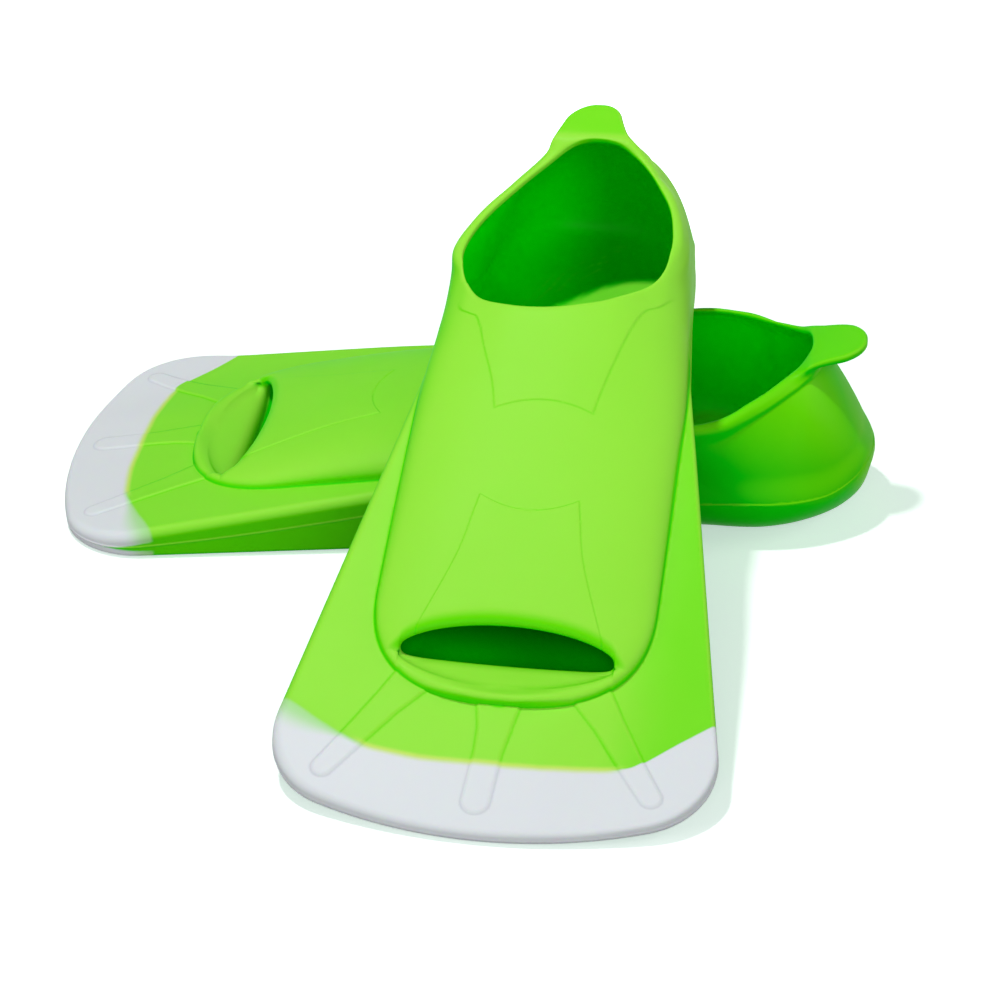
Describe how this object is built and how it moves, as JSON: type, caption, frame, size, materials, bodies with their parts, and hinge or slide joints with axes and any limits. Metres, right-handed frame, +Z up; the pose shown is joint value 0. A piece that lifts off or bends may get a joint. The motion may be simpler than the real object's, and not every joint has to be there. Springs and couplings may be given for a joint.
{
  "type": "pair of short swim fins",
  "caption": "Pair of short silicone swim fins with full foot pockets, open toes, a heel pull tab and a flared pale-tipped blade; one lies flat and the other leans across it.",
  "frame": {"origin": "on the floor under the middle of the left fin's length, on its flat underside", "axes": "+X along the left fin from blade to heel, +Y towards the inner side of the left foot, +Z up"},
  "size_m": [0.3596, 0.3599, 0.161],
  "materials": {
    "green_silicone": "satin, finely grained",
    "pale_silicone": "satin, finely grained"
  },
  "bodies": {
    "left_fin": {"left_foot_pocket": "green_silicone", "left_sole": "green_silicone", "left_blade": "green_silicone", "left_blade_tip": "pale_silicone", "left_heel_tab": "green_silicone"},
    "right_fin": {"right_foot_pocket": "green_silicone", "right_sole": "green_silicone", "right_blade": "green_silicone", "right_blade_tip": "pale_silicone", "right_heel_tab": "green_silicone"}
  },
  "joints": [
    {"name": "right_fin_lift", "type": "slide", "parent": "left_fin", "child": "right_fin", "axis": [0, 0, 1], "range_m": [0, 0.25]}
  ]
}
